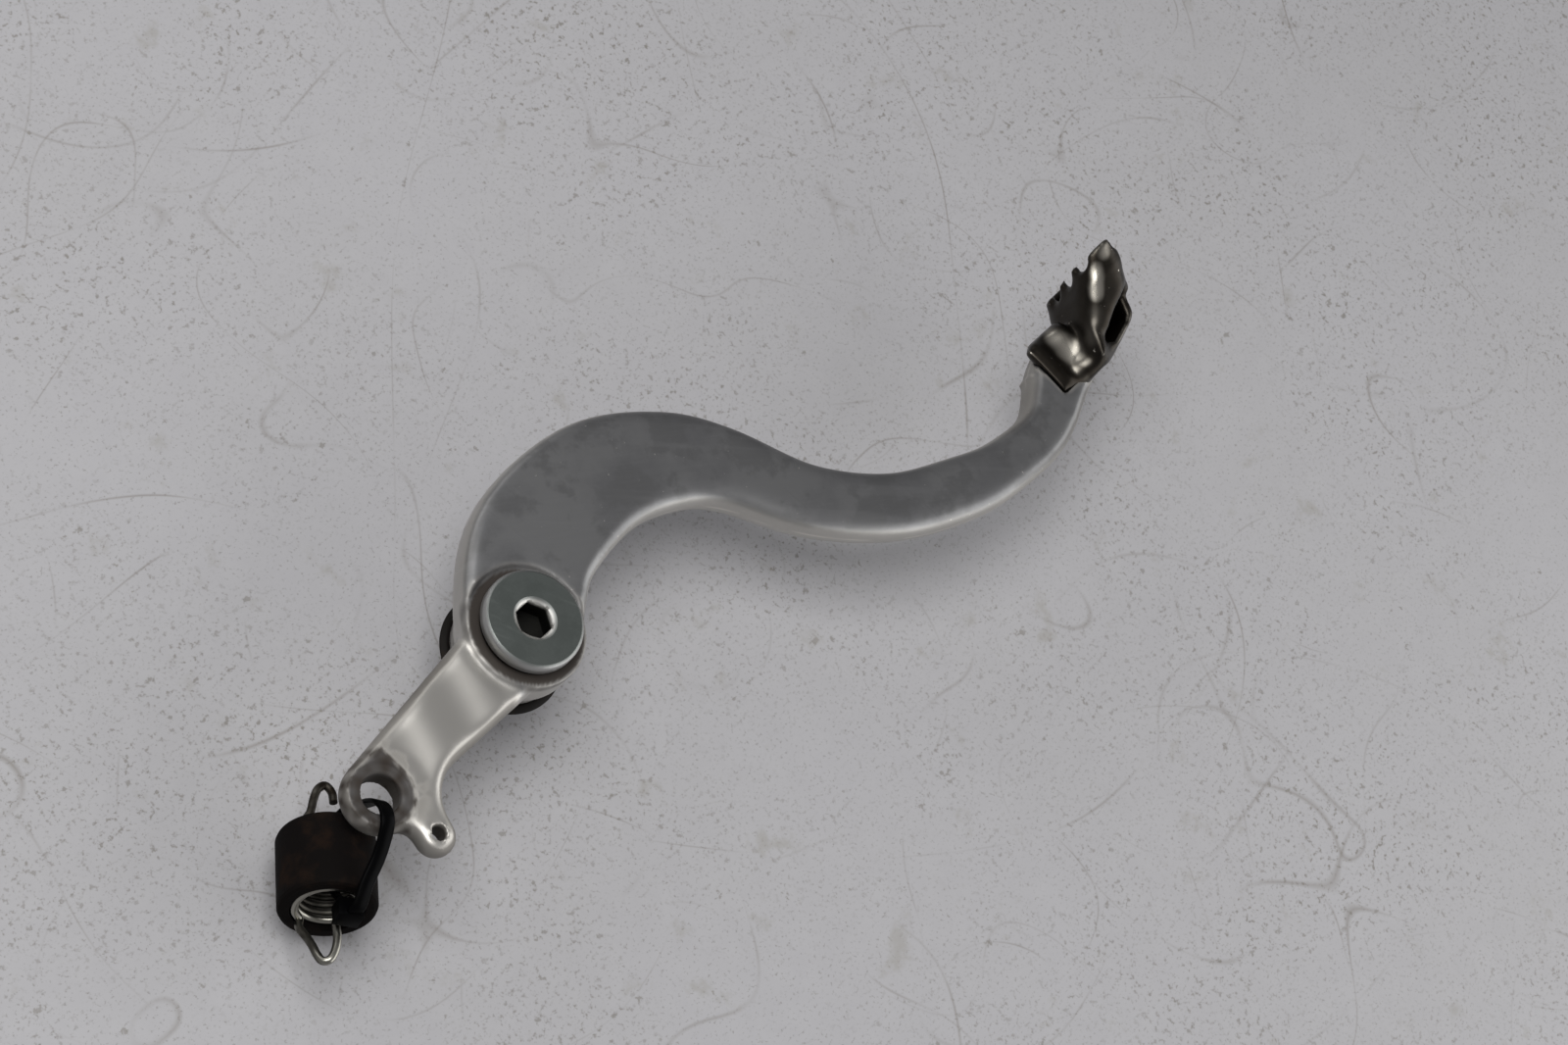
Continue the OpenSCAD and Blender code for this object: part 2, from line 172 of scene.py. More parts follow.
def object_place(tree):
    return tree.nodes.new("ShaderNodeTexCoord").outputs["Object"]


def noise_in(tree, place, scale, **values):
    made = node_in(tree, "ShaderNodeTexNoise", values)
    join(tree, place, made.inputs["Vector"])
    feed(tree, made.inputs["Scale"], scale)
    return made.outputs["Fac"]


def bump(tree, shader, height, strength, distance):
    made = node_in(tree, "ShaderNodeBump", {"Strength": strength, "Distance": distance})
    join(tree, height, made.inputs["Height"])
    join(tree, made.outputs[0], shader.inputs["Normal"])


def new_group(name, inputs):
    """A group that gives out one mask. Returns it with the sockets of its inputs and of its mask."""
    group = bpy.data.node_groups.new(name, "ShaderNodeTree")
    for title, value in inputs.items():
        kind = "NodeSocketVector" if isinstance(value, tuple) else FLOAT
        group.interface.new_socket(title, in_out="INPUT", socket_type=kind).default_value = value
    group.interface.new_socket("Mask", in_out="OUTPUT", socket_type=FLOAT)
    inner = group.nodes.new("NodeGroupInput")
    outer = group.nodes.new("NodeGroupOutput")
    return group, inner.outputs, outer.inputs["Mask"]


def use_group(tree, group, **values):
    """Puts a group into a material and gives its mask."""
    return node_in(tree, "ShaderNodeGroup", values, node_tree=group).outputs["Mask"]


# %% [markdown]
# ## Shared effects
# Some effects come back in most of the finishes, so each is a node group that is built once. Handling
# polishes a metal's rounded edges more than its flat faces, and faces that turn away from the pivot axis
# are painted brighter as well, a painted highlight. Dirt settles in soft patches. Use leaves fine
# scratches that all run roughly one way.

# %% Edge wear and painted highlight: how far a face turns away from the pivot axis
edge_wear_and_highlight, given, mask = new_group("edge_wear_and_highlight", {"Flat": 0.97, "Round": 0.7})
facing = node_in(edge_wear_and_highlight, "ShaderNodeSeparateXYZ")
join(edge_wear_and_highlight, edge_wear_and_highlight.nodes.new("ShaderNodeNewGeometry").outputs["Normal"], facing.inputs[0])
turned = calculate(edge_wear_and_highlight, "ABSOLUTE", facing.outputs["Z"])
join(edge_wear_and_highlight, ramp(edge_wear_and_highlight, turned, given["Flat"], given["Round"]), mask)

# %% Dirt: soft patches
dirt_patches, given, mask = new_group("dirt_patches", {"Scale": 90.0, "Low": 0.5, "High": 0.75})
patches = noise_in(dirt_patches, object_place(dirt_patches), given["Scale"], Detail=6.0, Roughness=0.62)
join(dirt_patches, ramp(dirt_patches, patches, given["Low"], given["High"]), mask)

# %% Fine scratches: noise drawn out along one direction
DRAWN_OUT = (0.06, 1.0, 0.3)
fine_scratches, given, mask = new_group(
    "fine_scratches", {"Turn": 0.4, "Scale": 900.0, "Low": 0.6, "High": 0.72})
spin = node_in(fine_scratches, "ShaderNodeVectorRotate", rotation_type="Z_AXIS")
join(fine_scratches, object_place(fine_scratches), spin.inputs["Vector"])
join(fine_scratches, given["Turn"], spin.inputs["Angle"])
drawn = node_in(fine_scratches, "ShaderNodeVectorMath", {1: DRAWN_OUT}, operation="MULTIPLY")
join(fine_scratches, spin.outputs[0], drawn.inputs[0])
lines = noise_in(fine_scratches, drawn.outputs[0], given["Scale"], Detail=2.0)
join(fine_scratches, ramp(fine_scratches, lines, given["Low"], given["High"]), mask)
print("node groups", [g.name for g in bpy.data.node_groups])


# %% [markdown]
# ## Metal finishes
# The forging's flat faces are dull grey, with darker smudges and brushed lines. Its edges, and the whole
# lever, are rubbed bright, and painted brighter still: a painted highlight where the light catches them.
# Where the metal is rubbed and painted bright is stored on the mesh, because only the mesh knows which
# corners stick out: a value for each point for rubbing and painted highlight, and one for dirt and
# painted shade. The shader mixes its colours by them.

# %% Stored values in a shader
def stored(tree, name):
    made = node_in(tree, "ShaderNodeAttribute", attribute_name=name, attribute_type="GEOMETRY")
    return made.outputs["Fac"]


def toned(color, amount):
    return [amount * c for c in color]


# %% Rubbed metal, with painted highlights and painted shade
def rubbed_and_highlit_metal(name, face, rubbed_and_highlit, smudge, grime_and_shade, face_rough, rubbed_rough, turn_by):
    made, tree, shader = start_material(name, face, face_rough, 1.0)
    rub_and_highlight = stored(tree, "rub_and_highlight")
    dirt_and_shade = stored(tree, "grime_and_shade")
    patch = use_group(tree, dirt_patches, Scale=48.0, Low=0.42, High=0.67)
    brushed = use_group(tree, fine_scratches, Turn=turn_by, Scale=1500.0, Low=0.35, High=0.75)
    marks = use_group(tree, fine_scratches, Turn=turn_by + 0.9, Scale=420.0, Low=0.66, High=0.76)
    dents = use_group(tree, dirt_patches, Scale=560.0, Low=0.675, High=0.72)
    blots = use_group(tree, dirt_patches, Scale=105.0, Low=0.48, High=0.60)
    streaks = use_group(tree, fine_scratches, Turn=turn_by + 0.2, Scale=260.0, Low=0.56, High=0.70)
    color = mix_colors(tree, patch, face, smudge)
    color = mix_colors(tree, scaled(tree, blots, 0.75), color, toned(face, 0.74))
    color = mix_colors(tree, scaled(tree, streaks, 0.22), color, toned(face, 1.22))
    color = mix_colors(tree, scaled(tree, brushed, 0.07), color, toned(face, 1.3))
    color = mix_colors(tree, scaled(tree, marks, 0.35), color, toned(face, 0.7))
    # Rubbed places and painted highlights take the bright colour.
    color = mix_colors(tree, rub_and_highlight, color, rubbed_and_highlit)
    color = mix_colors(tree, scaled(tree, dents, 0.7), color, rubbed_and_highlit)
    # Dirt and painted shade take the dark grime colour.
    color = mix_colors(tree, dirt_and_shade, color, grime_and_shade)
    rough = mix_values(tree, rub_and_highlight, face_rough, rubbed_rough)
    rough = mix_values(tree, scaled(tree, marks, 0.5), rough, face_rough + 0.08)
    rough = mix_values(tree, dirt_and_shade, rough, 0.7)
    metal = mix_values(tree, dirt_and_shade, 1.0, 0.2)
    join(tree, color, shader.inputs["Base Color"])
    join(tree, rough, shader.inputs["Roughness"])
    join(tree, metal, shader.inputs["Metallic"])
    bump(tree, shader, brushed, 0.04, 0.00003)
    return made


forged = rubbed_and_highlit_metal(
    "forged_alloy", face=(0.25, 0.25, 0.25), rubbed_and_highlit=(0.69, 0.665, 0.615), smudge=(0.205, 0.205, 0.208),
    grime_and_shade=(0.026, 0.018, 0.012), face_rough=0.44, rubbed_rough=0.35, turn_by=0.5)
cast_steel = rubbed_and_highlit_metal(
    "worn_step", face=(0.034, 0.030, 0.025), rubbed_and_highlit=(0.66, 0.62, 0.54), smudge=(0.022, 0.018, 0.014),
    grime_and_shade=(0.012, 0.0095, 0.007), face_rough=0.36, rubbed_rough=0.22, turn_by=0.9)


# %% Plated and drawn metal
def plated_metal(name, color_a, color_b, edge, rough_a, rough_b, scale, low):
    made, tree, shader = start_material(name, color_a, rough_a, 1.0)
    patch = use_group(tree, dirt_patches, Scale=scale, Low=low, High=low + 0.25)
    # Faces turned away from the pivot axis take the edge colour: edge wear and a painted highlight.
    worn_and_highlit = use_group(tree, edge_wear_and_highlight, Flat=0.93, Round=0.6)
    scratch = use_group(tree, fine_scratches, Turn=1.1, Scale=1300.0)
    color = mix_colors(tree, patch, color_a, color_b)
    color = mix_colors(tree, worn_and_highlit, color, edge)
    rough = mix_values(tree, patch, rough_a, rough_b)
    rough = mix_values(tree, scratch, rough, rough_a + 0.12)
    join(tree, color, shader.inputs["Base Color"])
    join(tree, rough, shader.inputs["Roughness"])
    bump(tree, shader, scratch, 0.08, 0.00002)
    return made, tree, shader, color


# %% [markdown]
# The bolt is dull zinc, but its hexagon socket is bare: bright at its mouth, and darker further down,
# which is painted shade. A point is in the socket if it is near the pivot axis and below the top of the
# head.

# %% Zinc, wire and bronze
HEAD_TOP = 20.3
SOCKET_REACH = 10.5
SOCKET_BRIGHT = (0.62, 0.61, 0.58)
SOCKET_SHADE = (0.022, 0.022, 0.020)
zinc, tree, shader, color = plated_metal(
    "dull_zinc", (0.150, 0.166, 0.156), (0.115, 0.128, 0.120), (0.42, 0.42, 0.41), 0.44, 0.5, 160.0, 0.4)
place = object_place(tree)
height = node_in(tree, "ShaderNodeSeparateXYZ")
join(tree, place, height.inputs[0])
flat = node_in(tree, "ShaderNodeVectorMath", {1: (1, 1, 0)}, operation="MULTIPLY")
join(tree, place, flat.inputs[0])
from_axis = node_in(tree, "ShaderNodeVectorMath", operation="LENGTH")
join(tree, flat.outputs[0], from_axis.inputs[0])
near_axis = ramp(tree, from_axis.outputs["Value"], 0.0, SOCKET_REACH * MM, falling=True)
in_socket = ramp(tree, near_axis, 0.40, 0.46)
below_top = ramp(tree, height.outputs["Z"], (HEAD_TOP - 0.1) * MM, (HEAD_TOP - 0.6) * MM)
# Deeper in the socket the colour turns to painted shade.
deep_shade = ramp(tree, height.outputs["Z"], (HEAD_TOP - 0.9) * MM, (HEAD_TOP - 2.2) * MM)
socket_part = calculate(tree, "MULTIPLY", in_socket, below_top)
socket_color = mix_colors(tree, deep_shade, SOCKET_BRIGHT, SOCKET_SHADE)
join(tree, mix_colors(tree, socket_part, color, socket_color), shader.inputs["Base Color"])

wire_steel, tree, shader, color = plated_metal(
    "stained_wire", (0.33, 0.32, 0.28), (0.11, 0.095, 0.075), (0.30, 0.29, 0.255), 0.30, 0.5, 150.0, 0.50)
wire_dirt = stored(tree, "grime_and_shade")
join(tree, mix_colors(tree, wire_dirt, color, (0.020, 0.016, 0.012)), shader.inputs["Base Color"])
join(tree, mix_values(tree, wire_dirt, 0.28, 0.55), shader.inputs["Roughness"])
bronze = plated_metal(
    "bush_bronze", (0.50, 0.36, 0.18), (0.20, 0.15, 0.10), (0.45, 0.33, 0.17), 0.36, 0.5, 220.0, 0.45)[0]


# %% [markdown]
# ## Rubber and plastic
# The sleeve and the seals are matt rubber with a brown film of old grease and dried mud. The strap is
# nylon, a little glossier. Old rubber drinks light, so it also reflects less at a glance than a clean
# plastic does.

# %% Rubber and nylon
def soft_black(name, color, stain, roughness, shine, grain, grain_scale):
    made, tree, shader = start_material(name, color, roughness)
    shader.inputs["Specular IOR Level"].default_value = shine
    patch = use_group(tree, dirt_patches, Scale=150.0, Low=0.48, High=0.72)
    join(tree, mix_colors(tree, patch, color, stain), shader.inputs["Base Color"])
    join(tree, mix_values(tree, patch, roughness, min(1.0, roughness + 0.2)), shader.inputs["Roughness"])
    pores = noise_in(tree, object_place(tree), grain_scale, Detail=4.0)
    bump(tree, shader, pores, grain, 0.0002)
    return made


sleeve_rubber = soft_black(
    "sleeve_rubber", (0.0046, 0.0036, 0.0033), (0.014, 0.0085, 0.006), 0.75, 0.05, 0.3, 1100)
seal_rubber = soft_black(
    "seal_rubber", (0.0075, 0.0062, 0.0052), (0.024, 0.017, 0.012), 0.6, 0.12, 0.15, 900)
nylon = soft_black(
    "strap_nylon", (0.0013, 0.0013, 0.0015), (0.0024, 0.0022, 0.0020), 0.36, 0.03, 0.05, 700)

# %% Finishes on the CAD nodes
FINISHES = {
    "pedal_arm": forged, "toe_step": cast_steel, "step_pin": zinc, "pivot_bolt": zinc, "outer_bush": bronze,
    "inner_bush": bronze, "outer_seal": seal_rubber, "inner_seal": seal_rubber, "return_spring": wire_steel,
    "spring_sleeve": sleeve_rubber, "cable_tie": nylon,
}
for title, finish in FINISHES.items():
    for slot in nodes[title].material_slots:
        slot.material = finish
print("finishes", [m.name for m in bpy.data.materials])


# %% [markdown]
# ## Floor and light
# The pedal lies on a painted floor, so a large plane stands in for it, at the height of the lowest piece.
# Years of use have left hairline scratches and dark specks. A hairline is the place where a soft noise
# crosses its middle value, broken up by a second noise. The light is soft and comes from above and behind
# the pedal's left.

# %% Hairlines: thin curved scratches
hairlines, given, mask = new_group(
    "hairlines", {"Scale": 9.0, "Shift": (0, 0, 0), "Thin": 0.0012, "Keep": 0.6})
moved = node_in(hairlines, "ShaderNodeVectorMath", operation="ADD")
join(hairlines, object_place(hairlines), moved.inputs[0])
join(hairlines, given["Shift"], moved.inputs[1])
curve = noise_in(hairlines, moved.outputs[0], given["Scale"], Detail=0.0)
off_middle = calculate(hairlines, "ABSOLUTE", calculate(hairlines, "SUBTRACT", curve, 0.5))
thin = ramp(hairlines, off_middle, 0.0, given["Thin"], falling=True, shape="LINEAR")
breaks = noise_in(hairlines, moved.outputs[0], 24.0, Detail=3.0)
kept = ramp(hairlines, breaks, given["Keep"], 0.72)
join(hairlines, calculate(hairlines, "MULTIPLY", thin, kept), mask)

# %% Floor
FLOOR_HALF = 6.0
FLOOR_GAP = 0.2
PAINT = (0.425, 0.418, 0.430)
HAIR_COLOR = (0.20, 0.18, 0.155)
HAIRS = [  # scale, shift, thinness, how much is broken away, depth of colour
    (5.0, (0, 0, 0), 0.0014, 0.46, 0.6), (8.0, (3.1, 1.7, 0.4), 0.0021, 0.46, 0.6),
    (12.0, (5.2, 6.1, 3.3), 0.0030, 0.47, 0.6), (9.0, (7.7, 4.2, 1.3), 0.0022, 0.47, 0.6),
    (14.0, (2.3, 9.1, 2.2), 0.0036, 0.48, 0.6), (20.0, (1.4, 5.5, 6.2), 0.0050, 0.51, 0.55),
    (17.0, (8.4, 2.5, 7.2), 0.0042, 0.49, 0.55), (28.0, (6.4, 8.5, 1.2), 0.0070, 0.52, 0.5),
]

floor_z = cad_bounds[0][2] - FLOOR_GAP * MM
floor_mesh = bpy.data.meshes.new("floor")
corners = [(-1, -1), (1, -1), (1, 1), (-1, 1)]
floor_mesh.from_pydata([(x * FLOOR_HALF, y * FLOOR_HALF, floor_z) for x, y in corners], [], [(0, 1, 2, 3)])
floor = bpy.data.objects.new("floor", floor_mesh)
bpy.context.scene.collection.objects.link(floor)
floor_paint, tree, shader = start_material("floor_paint", PAINT, 0.5)
busy = use_group(tree, dirt_patches, Scale=14.0, Low=0.34, High=0.66)
specks = use_group(tree, dirt_patches, Scale=620.0, Low=0.555, High=0.655)
FLOOR_MARKS = [  # mask, depth of colour and colour, in the order in which they lie on each other
    (use_group(tree, dirt_patches, Scale=11.0, Low=0.35, High=0.75), 0.35, (0.385, 0.378, 0.378)),
    (use_group(tree, dirt_patches, Scale=160.0, Low=0.3, High=0.8), 0.3, (0.47, 0.465, 0.47)),
    (calculate(tree, "MULTIPLY", busy, specks), 0.75, (0.18, 0.165, 0.14)),
    (use_group(tree, dirt_patches, Scale=260.0, Low=0.655, High=0.70), 0.6, (0.20, 0.185, 0.16)),
    (use_group(tree, dirt_patches, Scale=1100.0, Low=0.575, High=0.65), 0.5, (0.19, 0.18, 0.16)),
    (use_group(tree, dirt_patches, Scale=75.0, Low=0.60, High=0.74), 0.5, (0.31, 0.295, 0.265)),
]
color = PAINT
for mask, depth, mark_color in FLOOR_MARKS:
    color = mix_colors(tree, scaled(tree, mask, depth), color, mark_color)
for scale, shift, thin_to, keep, depth in HAIRS:
    hair = use_group(tree, hairlines, Scale=scale, Shift=shift, Thin=thin_to, Keep=keep)
    color = mix_colors(tree, scaled(tree, hair, depth), color, HAIR_COLOR)
join(tree, color, shader.inputs["Base Color"])
floor_mesh.materials.append(floor_paint)

# %% World and lamps
WORLD_GREY = 0.235
BACKDROP = (0.44, 0.435, 0.445)
LAMPS_LOOK_AT = (0.06, -0.01, 0)
world = bpy.data.worlds.new("studio")
bpy.context.scene.world = world
world.use_nodes = True
background = world.node_tree.nodes["Background"]
background.inputs["Color"].default_value = (1, 1, 1.03, 1)
background.inputs["Strength"].default_value = WORLD_GREY
tree = world.node_tree
backdrop = node_in(tree, "ShaderNodeBackground", {"Color": (*BACKDROP, 1), "Strength": 1.0})
seen = tree.nodes.new("ShaderNodeLightPath")
choice = tree.nodes.new("ShaderNodeMixShader")
join(tree, seen.outputs["Is Camera Ray"], choice.inputs[0])
join(tree, background.outputs[0], choice.inputs[1])
join(tree, backdrop.outputs[0], choice.inputs[2])
join(tree, choice.outputs[0], tree.nodes["World Output"].inputs["Surface"])


def panel(name, azimuth, elevation, distance, width, height, power):
    """An area lamp that looks at the pedal's middle from a direction."""
    data = bpy.data.lights.new(name, "AREA")
    data.shape = "RECTANGLE"
    data.size = width
    data.size_y = height
    data.energy = power
    lamp = bpy.data.objects.new(name, data)
    bpy.context.scene.collection.objects.link(lamp)
    a, e = math.radians(azimuth), math.radians(elevation)
    away = Vector((math.cos(a) * math.cos(e), math.sin(a) * math.cos(e), math.sin(e)))
    lamp.location = Vector(LAMPS_LOOK_AT) + away * distance
    lamp.rotation_euler = away.to_track_quat("Z", "Y").to_euler()


panel("top_soft", 140, 66, 0.9, 0.6, 0.6, 5.7)
panel("right_low", -62, 19, 0.8, 1.2, 0.6, 4.4)
panel("left_low", 80, 25, 0.9, 0.7, 0.3, 1.0)
print("floor at", round(floor_z / MM, 2), "mm")


# %% [markdown]
# ## The forging
# A forging has no sharp corners: the boss, the lever and the arm flow into each other. The copy below is
# rebuilt as an even skin of small faces, and relaxed everywhere but at its machined faces.

# %% Skin of small faces
MERGED = 0.002 * MM
THIN = 0.01 * MM


def merged_copy(node, name):
    made = bpy.data.objects.new(name, nodes[node].data.copy())
    bpy.context.scene.collection.objects.link(made)
    work = bmesh.new()
    work.from_mesh(made.data)
    bmesh.ops.remove_doubles(work, verts=work.verts, dist=MERGED)
    work.to_mesh(made.data)
    work.free()
    return made


def settle(obj):
    """Applies an object's modifiers and keeps its materials."""
    view = bpy.context.evaluated_depsgraph_get()
    plain = bpy.data.meshes.new_from_object(obj.evaluated_get(view))
    obj.modifiers.clear()
    obj.data = plain


def skin(node, name, size, fillets=()):
    """A copy with even faces. Balls, each a middle and a radius, fill its inside corners first."""
    made = merged_copy(node, name)
    work = bmesh.new()
    work.from_mesh(made.data)
    for middle, radius in fillets:
        place = Matrix.Translation(Vector(middle) * MM)
        bmesh.ops.create_icosphere(work, subdivisions=3, radius=radius * MM, matrix=place)
    work.to_mesh(made.data)
    work.free()
    remesh = made.modifiers.new("skin", "REMESH")
    remesh.mode = "VOXEL"
    remesh.voxel_size = size
    settle(made)
    for face in made.data.polygons:
        face.use_smooth = True
    return made


class Skin:
    """A mesh's points, edges and normals as arrays, so that thousands of points are moved at once."""

    def __init__(self, obj):
        self.mesh = obj.data
        count = len(self.mesh.vertices)
        self.points = np.empty(count * 3)
        self.mesh.vertices.foreach_get("co", self.points)
        self.points = self.points.reshape(-1, 3) / MM
        ends = np.empty(len(self.mesh.edges) * 2, dtype=np.int64)
        self.mesh.edges.foreach_get("vertices", ends)
        ends = ends.reshape(-1, 2)
        self.here = np.concatenate((ends[:, 0], ends[:, 1]))
        self.there = np.concatenate((ends[:, 1], ends[:, 0]))
        self.around = np.maximum(1, np.bincount(self.here, minlength=count))

    def mean(self, values):
        """The mean of each point's neighbours."""
        columns = values.reshape(len(self.around), -1).T
        sums = [np.bincount(self.here, weights=c[self.there], minlength=len(self.around)) for c in columns]
        return (np.array(sums) / self.around).T.reshape(values.shape)

    def relax(self, weights, times):
        """Pulls each point up to halfway to its neighbours, again and again."""
        for _ in range(times):
            self.points += 0.5 * weights[:, None] * (self.mean(self.points) - self.points)

    def save(self):
        self.mesh.vertices.foreach_set("co", (self.points * MM).ravel())
        self.mesh.update()

    def normals(self):
        self.save()
        found = np.empty(len(self.points) * 3)
        self.mesh.vertices.foreach_get("normal", found)
        return found.reshape(-1, 3)

    def sticking_out(self, times):
        """How far each point stands out from its neighbours, as a part of their distance."""
        reach = np.linalg.norm(self.points[self.here] - self.points[self.there], axis=1)
        reach = np.bincount(self.here, weights=reach, minlength=len(self.around)) / self.around
        values = ((self.points - self.mean(self.points)) * self.normals()).sum(axis=1) / reach
        for _ in range(times):
            values = 0.5 * values + 0.5 * self.mean(values)
        return values

    def store(self, name, values):
        layer = self.mesh.attributes.new(name, "FLOAT", "POINT")
        layer.data.foreach_set("value", np.clip(values, 0.0, 1.0))


def without_slivers(obj):
    """Takes out faces too thin to have an area, and reads the skin again."""
    work = bmesh.new()
    work.from_mesh(obj.data)
    bmesh.ops.dissolve_degenerate(work, edges=work.edges, dist=THIN)
    loose = [vert for vert in work.verts if not vert.link_edges]
    bmesh.ops.delete(work, geom=loose, context="VERTS")
    work.to_mesh(obj.data)
    work.free()
    return Skin(obj)


def fade(value, low, high):
    """0 below low, 1 above high, smooth between."""
    t = np.clip((value - low) / (high - low), 0.0, 1.0)
    return t * t * (3 - 2 * t)


def cloudy(points, scale):
    """A soft noise from -1 to 1 at each point."""
    return np.array([noise.noise(Vector(p) * scale) for p in points])


# %% The arm's blends
SKIN_SIZE = 0.6 * MM
RING_R = 14.9
BUSH_EDGE_R = 12.9
EYE = Vector((-55.0, -5.7))
EYE_SEAT_R = 7.4
EYE_BORE_R = 4.6
EAR = Vector((-51.2, -20.2))
EAR_HOLE_R = 1.8
BOSS_TOP = 15.4
LEVER_TOP = 14.4
ARM_MIDDLE = 11.55
SOCKET_START = 160
ARM_RELAXED = 14
ARM_SIDES_RELAXED = 40


def away_from(points, middle):
    return np.hypot(points[:, 0] - middle[0], points[:, 1] - middle[1])


def forging_weight(points):
    """Relaxes the forging everywhere but at its machined faces: the ring, the bores and the seat."""
    x, z = points[:, 0], points[:, 2]
    across = away_from(points, (0, 0))
    keep = fade(across, BUSH_EDGE_R, BUSH_EDGE_R + 1.0)
    keep = np.where(z > 8, fade(across, RING_R + 0.2, RING_R + 1.5), keep)
    keep *= fade(away_from(points, EYE), EYE_SEAT_R, EYE_SEAT_R + 1.0)
    keep *= fade(away_from(points, EAR), EAR_HOLE_R + 0.2, EAR_HOLE_R + 0.9)
    return keep * (1 - fade(x, SOCKET_START, SOCKET_START + 3))


arm_skin = skin("pedal_arm", "pedal_arm_skin", SKIN_SIZE)
arm = Skin(arm_skin)
arm.relax(forging_weight(arm.points), ARM_RELAXED)
long_side = fade(arm.points[:, 0], 22, 40) * (1 - fade(arm.points[:, 0], 132, 146))
arm.relax(long_side, ARM_SIDES_RELAXED)
print("forging", len(arm.points), "points")

# %% [markdown]
# The lever was straightened after forging, so its face is not quite flat: it rises and falls by a quarter
# of a millimetre. That is too little to see as a shape, but on bright metal it gives the light and dark
# bands.

# %% Bands along the lever
WAVE_LENGTH = 17.5
WAVE_HEIGHT = 0.27
WAVE_START = -21.0
x, y, z = arm.points.T
from_eye = away_from(arm.points, EYE)
on_lever = fade(-x, 13.5, 18.5) * fade(from_eye, EYE_SEAT_R + 0.6, EYE_SEAT_R + 5)
turned = 2 * np.pi * (x - 0.3 * y - WAVE_START) / WAVE_LENGTH
arm.points[:, 2] += WAVE_HEIGHT * np.sin(turned) * fade(z, LEVER_TOP - 3.0, LEVER_TOP - 0.5) * on_lever

# %% The lip round the eye's bore
LIP = 0.12
in_seat = fade(z, LEVER_TOP - 2.5, LEVER_TOP - 1.2)
arm.points[:, 2] += LIP * in_seat * (1 - fade(from_eye, EYE_BORE_R + 0.6, EYE_BORE_R + 1.5))
arm.save()
arm = without_slivers(arm_skin)

# %% Where the forging is rubbed, and where highlights are painted on
SEAT_POINTS_TO = math.radians(46)
CORNER_REACH = 2.6
CORNER_HALF = 0.55
RING_RIM_R = 14.5
ARM_LIFT_EVENED = 6
x, y, z = arm.points.T
from_eye = away_from(arm.points, EYE)
lift = arm.sticking_out(ARM_LIFT_EVENED)
up = np.abs(arm.normals()[:, 2])
wide_clouds = cloudy(arm.points, 0.09)
small_clouds = cloudy(arm.points, 0.45)
across = away_from(arm.points, (0, 0))
side = 1 - fade(up, 0.35, 0.85)
# Edges that stick out are rubbed bright, and sloping sides get a painted highlight along the rims.
rub_and_highlight = np.maximum(fade(lift, 0.02, 0.12) * (0.8 + 0.5 * wide_clouds), 0.55 * side)
# The whole lever is rubbed bright and painted brighter still: a painted highlight for the light on its
# face.
rub_and_highlight = np.maximum(rub_and_highlight, (0.93 + 0.14 * wide_clouds) * fade(-x, 11, 14))
parting = fade(0.5 - np.abs(z - ARM_MIDDLE + 0.4 * wide_clouds), 0.0, 0.5) * side * fade(x, 6, 10)
rub_and_highlight = np.maximum(rub_and_highlight, 0.9 * parting)
turned = np.arctan2(y - EYE[1], x - EYE[0]) - SEAT_POINTS_TO
corner_reach = CORNER_REACH * np.clip(1 - np.abs(turned) / CORNER_HALF, 0, 1) ** 1.5
from_seat = from_eye - EYE_SEAT_R - corner_reach
on_top = fade(z, LEVER_TOP - 2.5, LEVER_TOP - 1.6)
seat = (1 - fade(from_seat, -0.4, 0.3)) * on_top
rub_and_highlight = rub_and_highlight * (1 - seat)
# The ring's rim is painted darker: painted shade that dulls its reflection.
ring_rim = (1 - fade(np.abs(across - RING_RIM_R), 0.5, 1.5)) * fade(z, BOSS_TOP - 3.0, BOSS_TOP - 1.5)
rub_and_highlight = rub_and_highlight * (1 - 0.55 * ring_rim * fade(wide_clouds + 0.6, 0.1, 0.6))
arm.store("rub_and_highlight", rub_and_highlight)

# %% Where it is dirty, and where shade is painted
smear = fade(small_clouds + 0.35, 0.1, 0.55)
top_only = fade(z, 9, 12)
near_ring = (1 - fade(across, 13.7, 14.4)) * fade(z, BOSS_TOP - 1.2, BOSS_TOP - 0.5)
seat_rim = 1 - fade(np.abs(from_seat - 0.15), 0.15, 0.9)
halo = 1 - fade(np.abs(from_seat - 1.5), 0.0, 3.5)
bore = (1 - fade(from_eye, EYE_BORE_R + 0.1, EYE_BORE_R + 0.8)) * (1 - fade(z, 12.4, 13.6))
ear_hole = (1 - fade(away_from(arm.points, EAR), EAR_HOLE_R, EAR_HOLE_R + 0.5)) * (1 - fade(z, 13, 14))
fillet = 1 - fade(up, 0.80, 0.97)
near_eye = 1 - fade(from_eye, EYE_SEAT_R + 2, EYE_SEAT_R + 6)
grime_and_shade = np.maximum.reduce([
    0.95 * seat_rim * (0.6 + 0.4 * smear) * top_only,
    0.5 * halo * smear * top_only,
    (0.85 + 0.25 * small_clouds) * seat,
    # Grease and painted shade in the counterbore round the bolt head, and painted shade on the ring's rim.
    0.95 * near_ring,
    (0.42 + 0.25 * small_clouds) * ring_rim,
    # Painted shade inside the eye's bore and the ear hole.
    0.95 * bore,
    0.95 * ear_hole,
    0.35 * fade(-lift, 0.015, 0.09) * smear,
    # Painted shade on the sloping sides of the lever, round the eye and towards the step.
    (0.64 + 0.2 * wide_clouds) * fillet * fade(-x, 12, 16),
    (0.82 + 0.3 * small_clouds) * fillet * near_eye,
    (0.42 + 0.2 * wide_clouds) * fillet * fade(x, 128, 150),
])
arm.store("grime_and_shade", grime_and_shade)

